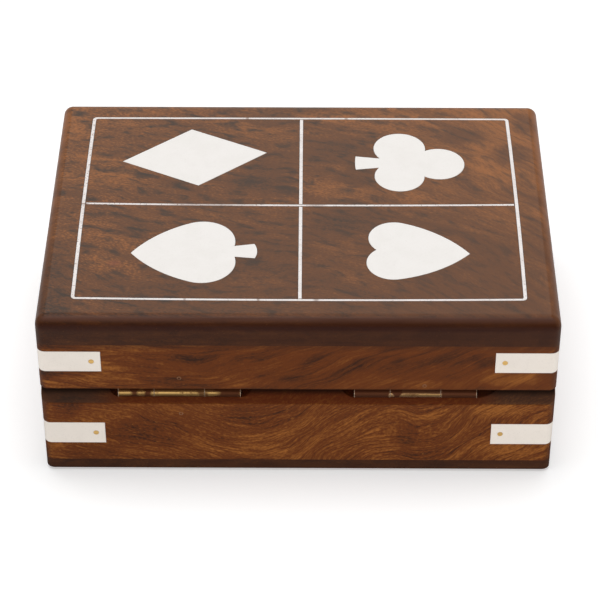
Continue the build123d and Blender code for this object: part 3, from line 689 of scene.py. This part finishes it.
def brass(name, clean, tarnish, roughness, metal, hinge=None, outer_tarnish=0.0, bright_line_angle=0.0):
    """Yellow brass with brown tarnish in clouds. On a hinge the tarnish also paints shade on the barrel,
    leaving a painted highlight and glints. hinge says which hinge it is for, if any.
    """
    made, tree, shader, place = new_material(name)
    drawn = grain_noise(tree, place, 40, 2400, rough=0.6)
    clouds = noise(tree, place, 170.0, detail=4.0, rough=0.6, warp=0.5)
    color = mix(tree, ramp(tree, drawn, 0.30, 0.75), clean, BRASS_DULL)
    share = times(tree, ramp(tree, clouds, 0.42, 0.66), tarnish)
    worn_and_glint = 0.0
    if hinge:
        share, worn_and_glint = hinge_wear_and_shade(tree, place, clouds, share, hinge, outer_tarnish, bright_line_angle)
    # on a hinge, share holds tarnish and the barrel's painted shade
    color = mix(tree, share, mix(tree, worn_and_glint, color, BRASS_WORN_GLINT), BRASS_BROWN)
    metallic = scaled(tree, worn_and_glint, -0.55, scaled(tree, share, -0.35, metal))
    handled = use(tree, HANDLING, {"Place": place, "Amount": 0.5})
    rough = plus(tree, scaled(tree, share, 0.25, roughness), handled["Roughness"])
    feed(tree, shader, Base_Color=color, Metallic=metallic, Roughness=rough, Specular_IOR_Level=0.15)
    relief(tree, shader, drawn, depth=0.01 * MM)
    return made


# ---------------------------------------------------------------- finishes onto the pieces
def dress(material, *names):
    for name in names:
        mesh = nodes[name].data
        mesh.materials.clear()
        mesh.materials.append(material)


def dress_wood():
    """Each board has its own cut of wood. Knots give the bend of its grain from one end to the other."""
    level = ((0.0, 0.5), (0.3, 0.56), (0.6, 0.47), (1.0, 0.5))
    rolling = ((0.0, 0.62), (0.25, 0.45), (0.5, 0.55), (0.75, 0.42), (1.0, 0.6))
    tray_rear = ((0.0, 0.98), (0.14, 0.79), (0.26, 0.61), (0.31, 0.63), (0.42, 0.52), (0.56, 0.30),
                 (0.62, 0.30), (0.72, 0.38), (0.87, 0.47), (1.0, 0.50))
    lid_rear = ((0.0, 0.98), (0.18, 0.74), (0.34, 0.56), (0.50, 0.39), (0.62, 0.33), (0.72, 0.29),
                (0.84, 0.33), (1.0, 0.39))
    # each cut: the strengths of its layers, then of the whole figure at the left and at the right
    plain = ({"Bands": 1.3, "Streaks": 1.0, "Fibres": 1.1, "Hairs": 0.35, "Clouds": 0.50}, 0.95, 0.95)
    fine = ({"Bands": 0.80, "Streaks": 1.50, "Fibres": 1.4, "Hairs": 0.50, "Clouds": 0.16}, 1.10, 0.85)
    quiet = ({"Bands": 1.20, "Streaks": 0.60, "Fibres": 0.42, "Hairs": 0.14, "Clouds": 0.50}, 1.00, 2.80)
    # board, whether it runs along Y, shift, knots, rise, warmth and cut
    boards = (
        ("base_rear_wall", False, (0.31, 0.11, 0.02), tray_rear, 0.080, 0.66, fine),
        ("lid_rear_wall", False, (0.13, 0.27, 0.41), lid_rear, 0.080, 0.42, quiet),
        ("base_front_wall", False, (0.52, 0.33, 0.15), rolling, 0.040, 0.52, plain),
        ("lid_front_wall", False, (0.77, 0.18, 0.36), level, 0.040, 0.50, plain),
        ("base_left_wall", True, (0.21, 0.64, 0.05), rolling, 0.040, 0.50, plain),
        ("lid_left_wall", True, (0.46, 0.83, 0.29), level, 0.040, 0.52, plain),
        ("base_right_wall", True, (0.68, 0.42, 0.57), level, 0.040, 0.50, plain),
        ("lid_right_wall", True, (0.92, 0.25, 0.71), rolling, 0.040, 0.50, plain),
        ("card_divider", True, (0.35, 0.95, 0.12), level, 0.030, 0.40, plain),
    )
    for name, *looks in boards:
        dress(wall_wood(name, *looks), name)
    dress(panel_wood("top_panel_rosewood", (0.47, 0.21, 0.0), 0.44, is_top=True), "lid_top_panel")
    dress(panel_wood("bottom_panel_rosewood", (0.15, 0.71, 0.3), 0.30, is_top=False), "bottom_panel")


def dress_fittings():
    """White for the straps, lines and suits, and brass for the pins, screws and hinges."""
    corners = [f"{end}_{side}" for end in ("front", "rear") for side in ("left", "right")]
    suits = white_inlay("suit_white", INLAY_WHITE, INLAY_SHADE, speckle=0.05)
    lines = white_inlay("line_white", LINE_WHITE, LINE_SHADE, speckle=0.35, stains=LINE_STAINS)
    ragged = white_inlay("line_ragged", LINE_WHITE, LINE_SHADE, speckle=0.85, stains=LINE_STAINS)
    strap = white_inlay("strap_white", STRAP_WHITE, STRAP_SHADE, speckle=0.06)
    bright = brass("bright_brass", BRASS_BRIGHT, tarnish=0.05, roughness=0.42, metal=0.30)
    dress(suits, "diamond_inlay", "club_inlay", "spade_inlay", "heart_inlay")
    dress(lines, "border_front", "border_rear", "border_left", "cross_short_front", "cross_short_rear")
    dress(ragged, "border_right", "cross_long")
    dress(strap, *[f"{tier}_strap_{corner}" for tier in ("base", "lid") for corner in corners])
    dress(bright, "base_strap_pins", "lid_strap_pins", "base_hinge_screws", "lid_hinge_screws")
    # each hinge: its side, clean brass, tarnish, tarnish on the outer knuckles, and the angle of its
    # painted bright line
    hinges = (("left", BRASS_COPPER, 0.80, 0.96, -11.0), ("right", BRASS_AGED, 0.85, 0.15, 7.0))
    for side, clean, tarnish, outer_tarnish, bright_line_degrees in hinges:
        hinge = brass(f"{side}_hinge_brass", clean, tarnish, roughness=0.15, metal=1.00, hinge=side,
                      outer_tarnish=outer_tarnish, bright_line_angle=math.radians(bright_line_degrees))
        dress(hinge, *[f"{side}_hinge_{part}" for part in ("lid_leaf", "base_leaf", "pin")])


# ---------------------------------------------------------------- table, lamps, camera
def lay_table():
    """A pale table, white to the camera but still taking the box's soft shadow."""
    bpy.ops.object.select_all(action="DESELECT")
    bpy.ops.mesh.primitive_plane_add(size=TABLE_SIZE, location=(0, 0, 0))
    table = bpy.context.object
    table.name = "table"
    made = bpy.data.materials.new("table_white")
    made.use_nodes = True
    tree = made.node_tree
    tree.nodes.clear()
    ray = tree.nodes.new("ShaderNodeLightPath").outputs
    place = tree.nodes.new("ShaderNodeTexCoord").outputs["Object"]
    paper_color = mix(tree, ray["Is Camera Ray"], PAPER_UNSEEN, PAPER_SEEN)
    sheen = ramp(tree, length(tree, place), *TABLE_SHADE, 0.0, TABLE_SHEEN)
    level = times(tree, ray["Is Camera Ray"], TABLE_WHITE)
    level = scaled(tree, ray["Is Diffuse Ray"], TABLE_BOUNCE, level)
    level = scaled(tree, ray["Is Glossy Ray"], sheen, level)
    paper = put(tree, "ShaderNodeBsdfDiffuse", {"Color": paper_color})
    glow = put(tree, "ShaderNodeEmission", {"Color": WHITE, "Strength": level})
    both = put(tree, "ShaderNodeAddShader", {0: paper.outputs[0], 1: glow.outputs[0]})
    put(tree, "ShaderNodeOutputMaterial", {"Surface": both.outputs[0]})
    table.data.materials.append(made)


def hang_lamp(name, place, target, width, height, watts, mirrored=True):
    """A rectangular lamp that faces the target. Polished surfaces show it only if it is mirrored."""
    light = bpy.data.lights.new(name, "AREA")
    light.shape = "RECTANGLE"
    light.size = width
    light.size_y = height
    light.energy = watts
    lamp = bpy.data.objects.new(name, light)
    bpy.context.scene.collection.objects.link(lamp)
    lamp.location = place
    lamp.rotation_euler = (Vector(target) - Vector(place)).to_track_quat("-Z", "Y").to_euler()
    lamp.visible_glossy = mirrored


def light_room():
    """A room that is white to the camera, dim and warm in polished surfaces, and brighter at its back."""
    world = bpy.data.worlds.new("room")
    bpy.context.scene.world = world
    world.use_nodes = True
    tree = world.node_tree
    tree.nodes.clear()
    ray = tree.nodes.new("ShaderNodeLightPath").outputs
    way_y = split(tree, tree.nodes.new("ShaderNodeTexCoord").outputs["Generated"])[1]
    at_back = ramp(tree, way_y, *BACK_FROM)
    mirrored = scaled(tree, at_back, BACK_MIRRORED - ROOM_MIRRORED, ROOM_MIRRORED)
    level = scaled(tree, ray["Is Glossy Ray"], minus(tree, mirrored, ROOM), ROOM)
    level = calc(tree, "MAXIMUM", level, ray["Is Camera Ray"])
    warm = times(tree, ray["Is Glossy Ray"], rest_of(tree, at_back))
    color = mix(tree, warm, mix(tree, ray["Is Glossy Ray"], WHITE, BACK_WARM), ROOM_WARM)
    sky = put(tree, "ShaderNodeBackground", {"Color": color, "Strength": level})
    put(tree, "ShaderNodeOutputWorld", {"Surface": sky.outputs[0]})
    hang_lamp("overhead_softbox", (0.02, -0.10, 1.25), (0, 0, 0.05), width=0.9, height=0.7, watts=9.6)
    hang_lamp("front_softbox", (0.25, 1.40, 0.70), (0, 0, 0.04), width=0.60, height=0.12, watts=1.5,
              mirrored=False)


def place_camera():
    lens = bpy.data.cameras.new("camera")
    lens.sensor_width = SENSOR_MM
    lens.lens = FOCAL_LENGTH_MM
    lens.clip_start = 0.01
    camera = bpy.data.objects.new("camera", lens)
    bpy.context.scene.collection.objects.link(camera)
    ahead = AHEAD.normalized()
    right = (IMAGE_RIGHT - IMAGE_RIGHT.dot(ahead) * ahead).normalized()
    up = right.cross(ahead)
    turn = Matrix((right, up, -ahead)).transposed().to_4x4()
    camera.matrix_world = Matrix.Translation(EYE) @ turn
    bpy.context.scene.camera = camera


dress_wood()
dress_fittings()
lay_table()
light_room()
place_camera()
bpy.context.scene.view_settings.view_transform = "Standard"
